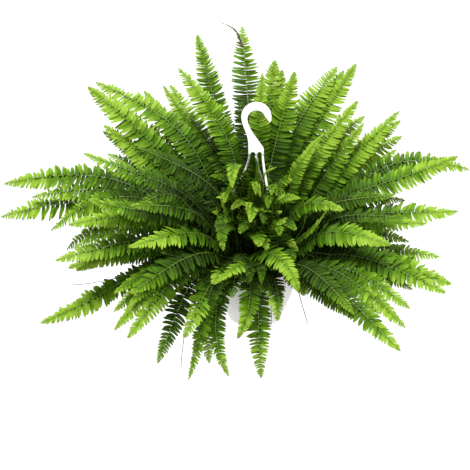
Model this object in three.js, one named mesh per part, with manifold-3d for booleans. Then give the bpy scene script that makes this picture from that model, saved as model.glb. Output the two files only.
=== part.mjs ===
// Boston fern in a hanging pot: a white bowl with its three-legged hanger, potting soil, and fronds that
// rise from the crown and arch over the rim. Millimetres, +Z up, -Y is the front. The origin is the seat
// inside the hanger's hook, which is the point that the pot hangs from.
import * as THREE from "three";
import { mergeVertices } from "three/addons/utils/BufferGeometryUtils.js";
import Module from "manifold-3d";

const wasm = await Module();
wasm.setup();

// Driving dimensions
const GAP = 0.3; // clearance that touching pieces keep
const SIDES = 36; // of everything that is round about the pot's axis

const POT_HEIGHT = 130;
const POT_RIM_RADIUS = 95;
const POT_WALL_TOP_RADIUS = 88;
const POT_BASE_RADIUS = 54;
const POT_WALL = 1.8;
const POT_FLOOR = 2.5;
const POT_CORNER = 4;
const WALL_LOW = [72, 45]; // radius and height of the two points that shape the bowl's wall
const WALL_HIGH = [84, 86];
const WALL_STEPS = 7;
const RIM_THICKNESS = 2.2;
const RIM_SKIRT = 9;
const DRAIN_HOLES = 5;
const DRAIN_RADIUS = 4;
const DRAIN_CIRCLE = 34;
const DRAIN_SIDES = 8;

const SOIL_TOP = 116;
const SOIL_EDGE = 3; // how far the soil's edge lies below its middle

const HOOK_SEAT_HEIGHT = 430; // above the pot's underside
const HOOK_SEAT_ABOVE_HUB = 86; // from the hub's lower edge to the seat
const HOOK_INNER_RADIUS = 16.5;
const HOOK_OUTER_RADIUS = 28;
const HOOK_THICKNESS = 6;
const HOOK_RISE = 3; // how far the outer arc's centre lies above the inner one's
const HOOK_POINT = [24.5, 62.5]; // lower corner of its free end, counted from the hub's lower edge
const HOOK_POINT_HEIGHT = 4;
const NECK_INSIDE = [[5, 26.5], [-16.5, 49.5]]; // points that shape the neck's two edges
const NECK_OUTSIDE = [[-26, 53.5], [-16, 41.5]];
const NECK_FOOT = [-15, 22];
const HUB_SHOULDER = 10.5;
const HUB_HALF_WIDTH = 14.5;
const LEG_WIDTH = 4;
const LEG_THICKNESS = 3;
const LEG_AZIMUTHS = [180, 60, -60];
const LEG_SPACING = 12.5; // between neighbouring legs where they leave the hub
const LEG_SEAT_RADIUS = 90.7;
const LEG_STEPS = 12;
const LEG_TOP_PULL = 45; // how far a leg keeps hanging straight down below the hub
const LEG_FOOT_PULL = 70; // how far above the rim it already stands upright again
const LEG_STRAIGHT = 14; // length of its straight lower end
const LEG_SINK = 4; // how far a leg is rooted in the hub
const FOOT_WIDTH = 10;
const FOOT_HEIGHT = 3;

const STALK_DEPTH = 10; // how far each stalk stands in the soil
const STALK_THICKNESS = 3;
const STALK_STEPS = 3;
const RIB_TIP_THICKNESS = 1.1;
const RIB_HEIGHTS = [0.5, -0.4]; // a rib's upper and lower edges about its centre, in thicknesses
const BARE_STALK = 60; // length of a stalk below its first leaflet
const LEAFLET_SPACING = 24;
const LEAFLET_DROOP = 0.2; // how far a leaflet's point hangs below its rib, as a share of its length
const LEAFLET_SWEEP = 5; // how far a leaflet's point leans towards the frond's tip
const FIRST_LEAFLET = 0.42; // length of the first leaflets, as a share of the longest
const OPENING_SHARE = 0.24; // share of the blade over which the leaflets reach their full length
const TAPER_SHARE = 0.5; // share of the blade over which they shorten again
const TAPER_POWER = 0.8;
const CROWN_RADIUS = 64; // outermost stalks on the soil
const CROWN_POWER = 0.8; // how the stalks crowd towards the middle as they stand more upright
const CURVE_PULL = 0.4; // how strongly a frond keeps to its first and last directions

const radians = THREE.MathUtils.degToRad;

// Every frond as it grows: azimuth in degrees from +X, horizontal reach of its tip from its root, height
// of its tip above the soil, its first and last slope in degrees, sideways sway of its middle, twist of
// its tip in degrees, and the half width of its blade. Lengths are in millimetres. `bare` is the length
// of stalk without leaflets where one of the hanger's legs passes close by. A `twin` springs from the
// same root as the frond before it, and the two are one piece.
const FRONDS = [
  // the upright fan behind the hook, from left to right
  { azimuth: 140, reach: 177, height: 357, rise: 74, fall: 42, twist: 10, half: 27 },
  { azimuth: 121, reach: 197, height: 406, rise: 80, fall: 50, sway: -6, twist: -8, half: 27 },
  { azimuth: 97, reach: 197, height: 418, rise: 85, fall: 48, sway: 6, twist: 8, half: 28, bare: 160 },
  { azimuth: 74, reach: 119, height: 371, rise: 80, fall: 66, half: 27, bare: 165 },
  { azimuth: 68, reach: 127, height: 351, rise: 84, fall: 76, half: 25, bare: 165, twin: true },
  { azimuth: 46, reach: 92, height: 364, rise: 84, fall: 68, twist: -8, half: 26, bare: 150 },
  { azimuth: 45, reach: 207, height: 349, rise: 77, fall: 36, twist: 8, half: 26, bare: 120 },
  { azimuth: 38, reach: 223, height: 357, rise: 70, fall: 46, half: 27 },
  { azimuth: 43, reach: 213, height: 341, rise: 72, fall: 42, sway: 6, half: 26 },
  // right-hand side, from high to low
  { azimuth: 28, reach: 194, height: 298, rise: 66, fall: 44, twist: -8, half: 26 },
  { azimuth: 31, reach: 217, height: 258, rise: 62, fall: 26, sway: 6, twist: 8, half: 26 },
  { azimuth: 20, reach: 255, height: 278, rise: 54, fall: 42, twist: -8, half: 26 },
  { azimuth: 28, reach: 289, height: 207, rise: 46, fall: 16, sway: -6, twist: 8, half: 26 },
  { azimuth: 24, reach: 269, height: 250, rise: 50, fall: 30, half: 25 },
  { azimuth: 40, reach: 343, height: 141, rise: 44, fall: 4, half: 26 },
  { azimuth: -2, reach: 336, height: 228, rise: 60, fall: 23, twist: 10, half: 27 },
  { azimuth: 8, reach: 370, height: 171, rise: 43, fall: -22, sway: 6, half: 27 },
  { azimuth: -8, reach: 333, height: 134, rise: 46, fall: 6, twist: -8, half: 27 },
  { azimuth: -16, reach: 277, height: 122, rise: 43, fall: 4, half: 26, twin: true },
  { azimuth: -11, reach: 295, height: 46, rise: 31, fall: -12, sway: 6, half: 26 },
  { azimuth: -4, reach: 246, height: 55, rise: 42, fall: -20, half: 24 },
  { azimuth: -24, reach: 334, height: 33, rise: 38, fall: -14, twist: 10, half: 27 },
  { azimuth: -30, reach: 328, height: 20, rise: 37, fall: -20, half: 25, twin: true },
  { azimuth: -36, reach: 284, height: 7, rise: 33, fall: -26, half: 25 },
  { azimuth: -41, reach: 291, height: -18, rise: 38, fall: -32, sway: -8, twist: -10, half: 26, twin: true },
  { azimuth: -50, reach: 329, height: -24, rise: 48, fall: -32, sway: 8, half: 26 },
  { azimuth: -56, reach: 240, height: 19, rise: 46, fall: -24, half: 22, twin: true },
  { azimuth: -52, reach: 90, height: -13, rise: 78, fall: -74, half: 22, twin: true },
  // front fronds that hang over the rim, from right to left
  { azimuth: -85, reach: 102, height: -173, rise: 48, fall: -84, half: 22 },
  { azimuth: -75, reach: 110, height: -46, rise: 58, fall: -80, sway: 6, twist: -10, half: 20, twin: true },
  { azimuth: -106, reach: 142, height: -150, rise: 52, fall: -72, sway: -22, twist: 10, half: 24 },
  { azimuth: -101, reach: 122, height: -78, rise: 56, fall: -80, half: 22, twin: true },
  { azimuth: -122, reach: 118, height: -140, rise: 54, fall: -80, sway: 8, twist: -6, half: 24 },
  { azimuth: -128, reach: 169, height: -70, rise: 44, fall: -50, sway: 8, half: 28 },
  { azimuth: -118, reach: 106, height: 22, rise: 46, fall: -30, half: 22, twin: true },
  { azimuth: -126, reach: 166, height: -161, rise: 40, fall: -74, half: 22, twin: true },
  // left-hand side, from low to high
  { azimuth: -142, reach: 245, height: -67, rise: 42, fall: -44, half: 26 },
  { azimuth: -148, reach: 255, height: -60, rise: 38, fall: -44, twist: 8, half: 25, twin: true },
  { azimuth: -137, reach: 198, height: -129, rise: 44, fall: -60, twist: -8, half: 24, twin: true },
  { azimuth: -157, reach: 236, height: -46, rise: 33, fall: -36, half: 25 },
  { azimuth: -166, reach: 306, height: 29, rise: 38, fall: -14, twist: -8, half: 26 },
  { azimuth: -167, reach: 370, height: -81, rise: 34, fall: -28, half: 26, twin: true },
  { azimuth: -160, reach: 340, height: 71, rise: 42, fall: -8, half: 27 },
  { azimuth: -160, reach: 312, height: 138, rise: 46, fall: -4, twist: -8, half: 26, twin: true },
  { azimuth: -171, reach: 347, height: 98, rise: 54, fall: -42, twist: 10, half: 26 },
  { azimuth: -174, reach: 322, height: 48, rise: 42, fall: -46, half: 25, twin: true },
  { azimuth: 175, reach: 444, height: 76, rise: 34, fall: -18, half: 27, bare: 90 },
  { azimuth: 171, reach: 450, height: 131, rise: 44, fall: -14, twist: -6, half: 28 },
  { azimuth: 175, reach: 388, height: 122, rise: 40, fall: -14, half: 26, twin: true },
  { azimuth: -172, reach: 285, height: 246, rise: 62, fall: 26, twist: 8, half: 26, bare: 120 },
  { azimuth: -155, reach: 293, height: 195, rise: 60, fall: 26, half: 26 },
  { azimuth: -150, reach: 223, height: 178, rise: 58, fall: 12, half: 25, twin: true },
  { azimuth: 161, reach: 310, height: 320, rise: 58, fall: 34, twist: -8, half: 28 },
  { azimuth: 156, reach: 286, height: 226, rise: 56, fall: 22, half: 26, twin: true },
  { azimuth: 166, reach: 256, height: 200, rise: 50, fall: 20, half: 25, twin: true },
  { azimuth: 148, reach: 342, height: 306, rise: 64, fall: 12, twist: 8, half: 27 },
  { azimuth: 137, reach: 270, height: 285, rise: 62, fall: 40, half: 26 },
  { azimuth: 128, reach: 262, height: 294, rise: 72, fall: 40, half: 25 },
  // inner fronds that arch towards the front
  { azimuth: -155, reach: 211, height: 279, rise: 74, fall: 32, half: 30 },
  { azimuth: -106, reach: 120, height: 212, rise: 84, fall: -40, sway: -14, twist: 10, half: 24 },
  { azimuth: -110, reach: 135, height: 100, rise: 76, fall: -66, half: 22, twin: true },
  { azimuth: -142, reach: 249, height: 120, rise: 56, fall: 2, twist: 8, half: 28 },
  { azimuth: -133, reach: 280, height: 59, rise: 50, fall: -8, sway: -6, twist: -8, half: 28 },
  { azimuth: -32, reach: 238, height: 111, rise: 50, fall: -4, twist: 10, half: 28 },
  { azimuth: -28, reach: 150, height: 150, rise: 66, fall: -10, sway: 6, half: 26 },
  { azimuth: -38, reach: 62, height: 96, rise: 80, fall: -30, twist: 8, half: 16, bare: 50, twin: true },
  { azimuth: -46, reach: 74, height: 58, rise: 70, fall: -44, half: 14, bare: 50, twin: true },
  { azimuth: -82, reach: 56, height: 132, rise: 77, fall: -24, twist: -8, half: 18, bare: 50 },
  { azimuth: -78, reach: 84, height: 74, rise: 74, fall: -50, half: 18, bare: 50, twin: true },
  // fronds at the back
  { azimuth: 67, reach: 340, height: 70, rise: 46, fall: -20, half: 27, bare: 90 },
  { azimuth: 76, reach: 270, height: -40, rise: 40, fall: -50, half: 25 },
  { azimuth: 84, reach: 320, height: 140, rise: 56, fall: -8, sway: 8, twist: 8, half: 27 },
  { azimuth: 92, reach: 250, height: 245, rise: 68, fall: 16, half: 26 },
  { azimuth: 101, reach: 360, height: 40, rise: 44, fall: -28, twist: -8, half: 27 },
  { azimuth: 93, reach: 240, height: -90, rise: 40, fall: -64, half: 24 },
  { azimuth: 118, reach: 330, height: 130, rise: 54, fall: -10, sway: -8, half: 27 },
  { azimuth: 108, reach: 280, height: 205, rise: 61, fall: 10, half: 26 },
  { azimuth: 136, reach: 350, height: 50, rise: 42, fall: -24, twist: 8, half: 27 },
  { azimuth: 122, reach: 260, height: -70, rise: 40, fall: -58, half: 25 },
];

// A geometry as a manifold-3d solid, and back.
function solidOf(geometry) {
  const bare = geometry.clone();
  bare.deleteAttribute("normal");
  bare.deleteAttribute("uv");
  const merged = mergeVertices(bare, 1e-3);
  const vertProperties = merged.attributes.position.array;
  const triVerts = new Uint32Array(merged.index.array);
  return new wasm.Manifold(new wasm.Mesh({ numProp: 3, vertProperties, triVerts }));
}

function geometryOf(solid) {
  const { vertProperties, triVerts } = solid.getMesh();
  const geometry = new THREE.BufferGeometry();
  geometry.setAttribute("position", new THREE.BufferAttribute(vertProperties, 3));
  geometry.setIndex(new THREE.BufferAttribute(triVerts, 1));
  geometry.computeVertexNormals();
  return geometry;
}

const joined = (first, ...rest) => rest.reduce((whole, next) => whole.add(next), first);

// Revolves a profile of [radius, height] points about Z.
function turned(profile) {
  const points = profile.map(([radius, height]) => new THREE.Vector2(radius, height));
  return new THREE.LatheGeometry(points, SIDES).rotateX(Math.PI / 2);
}

// The bowl's outer wall, from the corner above its base up to its rim.
const bowlWall = new THREE.CubicBezierCurve(
  new THREE.Vector2(POT_BASE_RADIUS, POT_CORNER),
  new THREE.Vector2(...WALL_LOW),
  new THREE.Vector2(...WALL_HIGH),
  new THREE.Vector2(POT_WALL_TOP_RADIUS, POT_HEIGHT - RIM_THICKNESS),
);
const wallPoints = (inset, from, to) =>
  bowlWall
    .getPoints(WALL_STEPS)
    .filter((p) => p.y > from && p.y < to)
    .map((p) => [p.x - inset, p.y]);

const wallRadius = (height) => bowlWall.getPoints(60).find((p) => p.y >= height).x;

const slotAt = (azimuth) =>
  new THREE.Matrix4()
    .makeRotationZ(radians(azimuth))
    .multiply(new THREE.Matrix4().makeTranslation(LEG_SEAT_RADIUS, 0, POT_HEIGHT));

// Injection-moulded bowl with a turned-down rim, drain holes, and three slots that hold the hanger's feet.
function pot() {
  const skirtInside = POT_RIM_RADIUS - POT_WALL;
  const flangeUnder = POT_HEIGHT - RIM_THICKNESS;
  const outer = [
    [0, 0],
    [POT_BASE_RADIUS - POT_CORNER, 0],
    ...wallPoints(0, 0, flangeUnder - 1),
    [POT_WALL_TOP_RADIUS, flangeUnder],
    [skirtInside, flangeUnder],
    [skirtInside, POT_HEIGHT - RIM_SKIRT],
    [POT_RIM_RADIUS, POT_HEIGHT - RIM_SKIRT],
    [POT_RIM_RADIUS, POT_HEIGHT],
    [POT_WALL_TOP_RADIUS - POT_WALL, POT_HEIGHT],
  ];
  const inner = wallPoints(POT_WALL, POT_FLOOR + 1, flangeUnder - 1).reverse();
  const floor = [
    [POT_BASE_RADIUS - POT_CORNER - POT_WALL, POT_FLOOR],
    [0, POT_FLOOR],
  ];
  let bowl = solidOf(turned([...outer, ...inner, ...floor]));
  for (const azimuth of LEG_AZIMUTHS) {
    const slot = new THREE.BoxGeometry(LEG_THICKNESS + 2 * GAP, LEG_WIDTH + 2 * GAP, 4 * RIM_THICKNESS);
    bowl = bowl.subtract(solidOf(slot.applyMatrix4(slotAt(azimuth))));
  }
  for (let i = 0; i < DRAIN_HOLES; i++) {
    const turn = new THREE.Matrix4().makeRotationZ((2 * Math.PI * (i + 0.5)) / DRAIN_HOLES);
    const hole = new THREE.CylinderGeometry(DRAIN_RADIUS, DRAIN_RADIUS, 4 * POT_FLOOR, DRAIN_SIDES);
    hole.rotateX(Math.PI / 2).translate(DRAIN_CIRCLE, 0, 0).applyMatrix4(turn);
    bowl = bowl.subtract(solidOf(hole));
  }
  return geometryOf(bowl);
}

// A closed bar of rectangular section along a line of points. It is broad across the direction `side`.
function bar(points, side, width, thickness) {
  const position = [];
  points.forEach((p, i) => {
    const along = points[Math.min(i + 1, points.length - 1)].clone().sub(points[Math.max(i - 1, 0)]);
    const out = side.clone().cross(along).normalize().multiplyScalar(thickness / 2);
    const across = side.clone().multiplyScalar(width / 2);
    for (const [a, b] of [[1, 1], [-1, 1], [-1, -1], [1, -1]])
      position.push(...p.clone().addScaledVector(across, a).addScaledVector(out, b).toArray());
  });
  const index = [0, 1, 2, 0, 2, 3];
  const last = 4 * (points.length - 1);
  for (let k = 0; k < last; k += 4)
    for (let j = 0; j < 4; j++) {
      const next = (j + 1) % 4;
      index.push(k + next, k + j, k + 4 + j, k + next, k + 4 + j, k + 4 + next);
    }
  index.push(last, last + 2, last + 1, last, last + 3, last + 2);
  const geometry = new THREE.BufferGeometry();
  geometry.setAttribute("position", new THREE.Float32BufferAttribute(position, 3));
  geometry.setIndex(index);
  return geometry;
}

// The swan-necked hook and its hub, cut from one flat outline. Its heights start at the hub's lower edge.
function hookPlate() {
  const eyeHeight = HOOK_SEAT_ABOVE_HUB - HOOK_INNER_RADIUS;
  const [pointX, pointHeight] = HOOK_POINT;
  const shape = new THREE.Shape();
  shape.moveTo(HUB_HALF_WIDTH, 0);
  shape.lineTo(HUB_HALF_WIDTH, HUB_SHOULDER);
  shape.bezierCurveTo(...NECK_INSIDE.flat(), -HOOK_INNER_RADIUS, eyeHeight);
  shape.absarc(0, eyeHeight, HOOK_INNER_RADIUS, Math.PI, radians(20), true);
  shape.lineTo(pointX, pointHeight);
  shape.lineTo(HOOK_OUTER_RADIUS, pointHeight + HOOK_POINT_HEIGHT);
  shape.absarc(0, eyeHeight + HOOK_RISE, HOOK_OUTER_RADIUS, radians(-6), radians(186), false);
  shape.bezierCurveTo(...NECK_OUTSIDE.flat(), ...NECK_FOOT);
  shape.lineTo(-HUB_HALF_WIDTH, 0);
  const archRadius = (LEG_SPACING - LEG_WIDTH) / 2;
  for (const middle of [-LEG_SPACING / 2, LEG_SPACING / 2]) {
    shape.lineTo(middle - archRadius, 0);
    shape.absarc(middle, 0, archRadius, Math.PI, 0, true);
  }
  const plate = new THREE.ExtrudeGeometry(shape, {
    depth: HOOK_THICKNESS,
    bevelEnabled: false,
    curveSegments: 6,
  });
  return plate.rotateX(Math.PI / 2).translate(0, HOOK_THICKNESS / 2, HOOK_SEAT_HEIGHT - HOOK_SEAT_ABOVE_HUB);
}

// One moulded hanger: hook, hub, and three legs whose feet are pushed through the rim's slots and turned.
function hanger() {
  const hubFoot = HOOK_SEAT_HEIGHT - HOOK_SEAT_ABOVE_HUB;
  const footHeight = -RIM_THICKNESS - GAP - FOOT_HEIGHT / 2;
  const pieces = [solidOf(hookPlate())];
  LEG_AZIMUTHS.forEach((azimuth, i) => {
    const outward = new THREE.Vector3(Math.cos(radians(azimuth)), Math.sin(radians(azimuth)), 0);
    const side = new THREE.Vector3(-outward.y, outward.x, 0);
    const start = new THREE.Vector3((i - 1) * LEG_SPACING, 0, hubFoot);
    const seatAt = (height) => outward.clone().multiplyScalar(LEG_SEAT_RADIUS).setZ(POT_HEIGHT + height);
    const sweep = new THREE.CubicBezierCurve3(
      start,
      start.clone().setZ(hubFoot - LEG_TOP_PULL),
      seatAt(LEG_FOOT_PULL),
      seatAt(LEG_STRAIGHT),
    );
    const top = start.clone().setZ(hubFoot + LEG_SINK);
    const points = [top, ...sweep.getSpacedPoints(LEG_STEPS), seatAt(footHeight)];
    pieces.push(solidOf(bar(points, side, LEG_WIDTH, LEG_THICKNESS)));
    const foot = new THREE.BoxGeometry(LEG_THICKNESS, FOOT_WIDTH, FOOT_HEIGHT);
    pieces.push(solidOf(foot.translate(0, 0, footHeight).applyMatrix4(slotAt(azimuth))));
  });
  return geometryOf(joined(...pieces));
}

// A frond's rib in its own vertical plane: x is outward from its root, z is up, y is sideways.
function ribCurve(frond) {
  const { reach, height, sway = 0 } = frond;
  const pull = CURVE_PULL * (reach + Math.abs(height));
  const rise = radians(frond.rise);
  const fall = radians(frond.fall);
  return new THREE.CubicBezierCurve3(
    new THREE.Vector3(0, 0, 1),
    new THREE.Vector3(pull * Math.cos(rise), 0, pull * Math.sin(rise)),
    new THREE.Vector3(reach - pull * Math.cos(fall), sway, height - pull * Math.sin(fall)),
    new THREE.Vector3(reach, 0, height),
  );
}

// Half width of the blade where `share` of its leafy length lies behind: short leaflets first, then the
// full width, then a long taper to the tip.
function halfWidth(frond, share) {
  const opening = Math.min(1, FIRST_LEAFLET + ((1 - FIRST_LEAFLET) * share) / OPENING_SHARE);
  const taper = Math.min(1, (1 - share) / TAPER_SHARE) ** TAPER_POWER;
  return frond.half * opening * taper;
}

// The three corners of a rib or stalk section: its upper edge and its two lower edges.
function ribSection(centre, along, twist, thickness) {
  const side = new THREE.Vector3(0, 1, 0).addScaledVector(along, -along.y).normalize();
  side.applyAxisAngle(along, twist);
  const up = along.clone().cross(side).normalize();
  const [high, low] = RIB_HEIGHTS.map((height) => centre.clone().addScaledVector(up, height * thickness));
  const across = side.clone().multiplyScalar(thickness / 2);
  return { side, up, corners: [high, low.clone().add(across), low.clone().sub(across)] };
}

// A frond's sections from its foot to its tip: a few along the bare stalk, then one for each leaflet pair.
function frondSections(frond) {
  const curve = ribCurve(frond);
  const length = curve.getLength();
  const { bare: bareLength = BARE_STALK, twist: tipTwist = 0 } = frond;
  const bare = bareLength / length;
  const pairs = Math.round((length * (1 - bare)) / LEAFLET_SPACING);
  const shares = [];
  for (let i = 0; i < STALK_STEPS; i++) shares.push((bare * i) / STALK_STEPS);
  for (let i = 0; i <= pairs; i++) shares.push(1 - ((1 - bare) * (pairs - i)) / pairs);
  const sections = shares.map((share) => {
    const thickness = THREE.MathUtils.lerp(STALK_THICKNESS, RIB_TIP_THICKNESS, share);
    const twist = radians(tipTwist) * share;
    return ribSection(curve.getPointAt(share), curve.getTangentAt(share), twist, thickness);
  });
  if (!frond.twin) {
    const foot = new THREE.Vector3(0, 0, -STALK_DEPTH);
    sections.unshift(ribSection(foot, new THREE.Vector3(0, 0, 1), 0, STALK_THICKNESS));
  }
  return { sections, pairs };
}

// A whole frond: a stalk, a three-sided rib, and pointed leaflets that grow in pairs out of its flanks.
function frondGeometry(frond) {
  const { sections, pairs } = frondSections(frond);
  const points = sections.flatMap((section) => section.corners);
  const firstBlade = sections.length - 1 - pairs;
  const index = [0, 1, 2];
  const quad = (a, b, c, d) => index.push(a, b, c, a, c, d);
  for (let k = 0; k < sections.length - 1; k++) {
    const [top, left, right] = [3 * k, 3 * k + 1, 3 * k + 2];
    quad(left, left + 3, right + 3, right);
    if (k < firstBlade) {
      quad(top, top + 3, left + 3, left);
      quad(right, right + 3, top + 3, top);
      continue;
    }
    const { side, up } = sections[k];
    const reach = halfWidth(frond, (k - firstBlade + 0.5) / pairs);
    const middle = points[top].clone().lerp(points[top + 3], 0.5);
    const ahead = points[top + 3].clone().sub(points[top]).normalize();
    for (const [sign, a, b] of [[1, top, left], [-1, right, top]]) {
      const tip = middle.clone().addScaledVector(side, sign * reach);
      tip.addScaledVector(up, -LEAFLET_DROOP * reach).addScaledVector(ahead, LEAFLET_SWEEP);
      const t = points.push(tip) - 1;
      index.push(a, a + 3, t, a + 3, b + 3, t, b + 3, b, t, b, a, t);
    }
  }
  const end = 3 * (sections.length - 1);
  index.push(end, end + 2, end + 1);
  const position = new Float32Array(points.flatMap((p) => p.toArray()));
  const geometry = new THREE.BufferGeometry();
  geometry.setAttribute("position", new THREE.BufferAttribute(position, 3));
  geometry.setIndex(index);
  geometry.computeVertexNormals();
  return geometry;
}

// Places a frond, or the hole for its stalk, at its root on the soil.
function rootMatrix(frond) {
  const radius = CROWN_RADIUS * Math.cos(radians(frond.rise)) ** CROWN_POWER;
  const turn = new THREE.Matrix4().makeRotationZ(radians(frond.azimuth));
  return turn.multiply(new THREE.Matrix4().makeTranslation(radius, 0, SOIL_TOP));
}

// A frond with its twins, if it has any, as one solid in the first one's own frame.
function frondNode([first, ...twins]) {
  if (twins.length === 0) return frondGeometry(first);
  const turnedTwins = twins.map((twin) =>
    solidOf(frondGeometry(twin).rotateZ(radians(twin.azimuth - first.azimuth))),
  );
  return geometryOf(joined(solidOf(frondGeometry(first)), ...turnedTwins));
}

// Potting soil that fills the bowl, with a plain three-sided hole for each stalk.
function soil(firstFronds) {
  const inset = POT_WALL + 2 * GAP;
  const edge = wallRadius(SOIL_TOP) - inset - SOIL_EDGE;
  const profile = [
    [0, POT_FLOOR + GAP],
    [POT_BASE_RADIUS - POT_CORNER - inset, POT_FLOOR + GAP],
    ...wallPoints(inset, POT_FLOOR + 2, SOIL_TOP - SOIL_EDGE),
    [edge, SOIL_TOP],
    [0, SOIL_TOP],
  ];
  const holeRadius = 2 * (STALK_THICKNESS * Math.abs(RIB_HEIGHTS[1]) + GAP); // its flats lie half as far out
  const holeHeight = 2 * (STALK_DEPTH + GAP);
  let body = solidOf(turned(profile));
  for (const frond of firstFronds) {
    const hole = new THREE.CylinderGeometry(holeRadius, holeRadius, holeHeight, 3);
    hole.rotateX(Math.PI / 2).rotateZ(-Math.PI / 2).applyMatrix4(rootMatrix(frond));
    body = body.subtract(solidOf(hole));
  }
  return geometryOf(body);
}

const WHITE_PLASTIC = { color: 0xefefec, roughness: 0.4 };
const PEATY_SOIL = { color: 0x2b1f17, roughness: 0.95 };
const FERN_GREEN = { color: 0x5f9a1e, roughness: 0.5 };

function mesh(name, geometry, look) {
  const made = new THREE.Mesh(geometry, new THREE.MeshStandardMaterial({ ...look, metalness: 0 }));
  made.name = name;
  return made;
}

const tufts = [];
for (const frond of FRONDS) {
  if (frond.twin) tufts.at(-1).push(frond);
  else tufts.push([frond]);
}

const plant = new THREE.Group();
plant.position.z = -HOOK_SEAT_HEIGHT;
plant.add(mesh("pot", pot(), WHITE_PLASTIC));
plant.add(mesh("soil", soil(tufts.map(([first]) => first)), PEATY_SOIL));
plant.add(mesh("hanger", hanger(), WHITE_PLASTIC));
tufts.forEach((tuft, i) => {
  const made = mesh(`frond_${String(i + 1).padStart(2, "0")}`, frondNode(tuft), FERN_GREEN);
  made.applyMatrix4(rootMatrix(tuft[0]));
  plant.add(made);
});

const root = new THREE.Group();
root.add(plant);

export default root;
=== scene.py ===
"""A Boston fern in its white hanging pot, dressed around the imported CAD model.

The CAD frame has its origin at the seat inside the hanger's hook, -Y is the front and +Z is up. Sizes
below are in millimetres above the pot's underside, and each finished mesh is moved into the frame once.
"""

import math
import random

import bmesh
import bpy
from mathutils import Matrix, Vector, noise
from mathutils.geometry import interpolate_bezier


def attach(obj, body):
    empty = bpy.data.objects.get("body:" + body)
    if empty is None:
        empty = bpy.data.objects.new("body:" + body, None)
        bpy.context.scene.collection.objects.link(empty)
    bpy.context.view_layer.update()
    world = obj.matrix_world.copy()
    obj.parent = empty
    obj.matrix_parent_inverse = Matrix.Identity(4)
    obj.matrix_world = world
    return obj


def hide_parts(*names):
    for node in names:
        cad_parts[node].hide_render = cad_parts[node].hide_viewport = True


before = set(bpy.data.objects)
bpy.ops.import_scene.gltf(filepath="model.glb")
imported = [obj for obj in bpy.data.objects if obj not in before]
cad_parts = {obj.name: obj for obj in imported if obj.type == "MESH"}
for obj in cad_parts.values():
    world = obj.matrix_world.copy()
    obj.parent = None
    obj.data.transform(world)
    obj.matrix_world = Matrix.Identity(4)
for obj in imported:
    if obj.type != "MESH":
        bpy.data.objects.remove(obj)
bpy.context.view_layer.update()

# The pot: a thin white bowl, injection-moulded in polypropylene, with a turned-down rim. Its floor has
# five drain holes, and three slots in the rim hold the hanger's feet.
MM = 0.001
HOOK_SEAT_HEIGHT = 430
POT_HEIGHT = 130
POT_RIM_RADIUS = 95
POT_WALL_TOP_RADIUS = 88
POT_BASE_RADIUS = 54
POT_WALL = 1.8
POT_FLOOR = 2.5
POT_CORNER = 4
RIM_THICKNESS = 2.2
RIM_UNDER = POT_HEIGHT - RIM_THICKNESS
RIM_SKIRT = 9
WALL_LOW = (72, 45)
WALL_HIGH = (84, 86)
WALL_STEPS = 18
TURN_STEPS = 96
DRAIN_HOLES = 5
DRAIN_RADIUS = 4
DRAIN_CIRCLE = 34
DRAIN_SIDES = 24
DRAIN_CUT = 12  # length of the cutter, through the floor
LEG_AZIMUTHS = (180, 60, -60)
LEG_SEAT_RADIUS = 90.7
SLOT_SIZE = (3.6, 4.6, 4 * RIM_THICKNESS)
BASE_CORNER = (1.4, 1.3)  # where the base's rounded corner passes, inwards and upwards
MOULD_EDGE = 0.5  # rounding that the mould leaves on every edge


def add_node(tree, kind, settings=None, **links):
    """A node with its settings. Each link sets an input, by name or _number, to a value or an output."""
    node = tree.nodes.new(kind)
    for name, value in (settings or {}).items():
        setattr(node, name, value)
    for name, value in links.items():
        key = int(name[1:]) if name[1:].isdigit() else name.replace("_", " ")
        if isinstance(value, bpy.types.NodeSocket):
            tree.links.new(value, node.inputs[key])
        else:
            node.inputs[key].default_value = value
    return node


def colour(code, alpha=1.0):
    """An sRGB hex colour as linear red, green, blue and alpha."""
    shares = [int(code[i : i + 2], 16) / 255 for i in (1, 3, 5)]
    return [s / 12.92 if s <= 0.04045 else ((s + 0.055) / 1.055) ** 2.4 for s in shares] + [alpha]


def new_material(name):
    """A material, its empty node tree, the place of each point in the object, and the surface to link."""
    material = bpy.data.materials.new(name)
    material.use_nodes = True
    tree = material.node_tree
    tree.nodes.clear()
    place = add_node(tree, "ShaderNodeTexCoord").outputs["Object"]
    return material, tree, place, add_node(tree, "ShaderNodeOutputMaterial").inputs["Surface"]


def colour_steps(ramp_node, steps):
    """Sets a colour ramp to (position, hex colour) steps."""
    ramp = ramp_node.color_ramp
    while len(ramp.elements) < len(steps):
        ramp.elements.new(0.5)
    for element, (position, code) in zip(ramp.elements, steps):
        element.position = position
        element.color = colour(code)


def grain(size):
    """A pattern's scale, from the width of its grains in millimetres."""
    return 1 / (size * MM)


# Moulded polypropylene: white, half gloss, with the faint orange-peel of the mould's surface, drawn
# coarse enough to show, and wide clouds of dust and dried water.
def moulded_white(name, plain, dusty, peel):
    material, tree, place, surface = new_material(name)
    dust = add_node(tree, "ShaderNodeTexNoise", Vector=place, Scale=grain(26.3), Detail=6.0, Roughness=0.6)
    tint = add_node(tree, "ShaderNodeValToRGB", Fac=dust.outputs["Fac"])
    colour_steps(tint, [(0.35, plain), (0.75, dusty)])
    pores = add_node(tree, "ShaderNodeTexNoise", Vector=place, Scale=grain(1.54), Detail=2.0)
    bump = add_node(tree, "ShaderNodeBump", Height=pores.outputs["Fac"], Strength=peel, Distance=0.2 * MM)
    gloss = add_node(tree, "ShaderNodeMapRange", Value=dust.outputs["Fac"], To_Min=0.3, To_Max=0.5)
    skin = add_node(
        tree,
        "ShaderNodeBsdfPrincipled",
        Base_Color=tint.outputs["Color"],
        Roughness=gloss.outputs["Result"],
        Normal=bump.outputs["Normal"],
        IOR=1.49,
    )
    tree.links.new(skin.outputs["BSDF"], surface)
    return material


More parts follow.
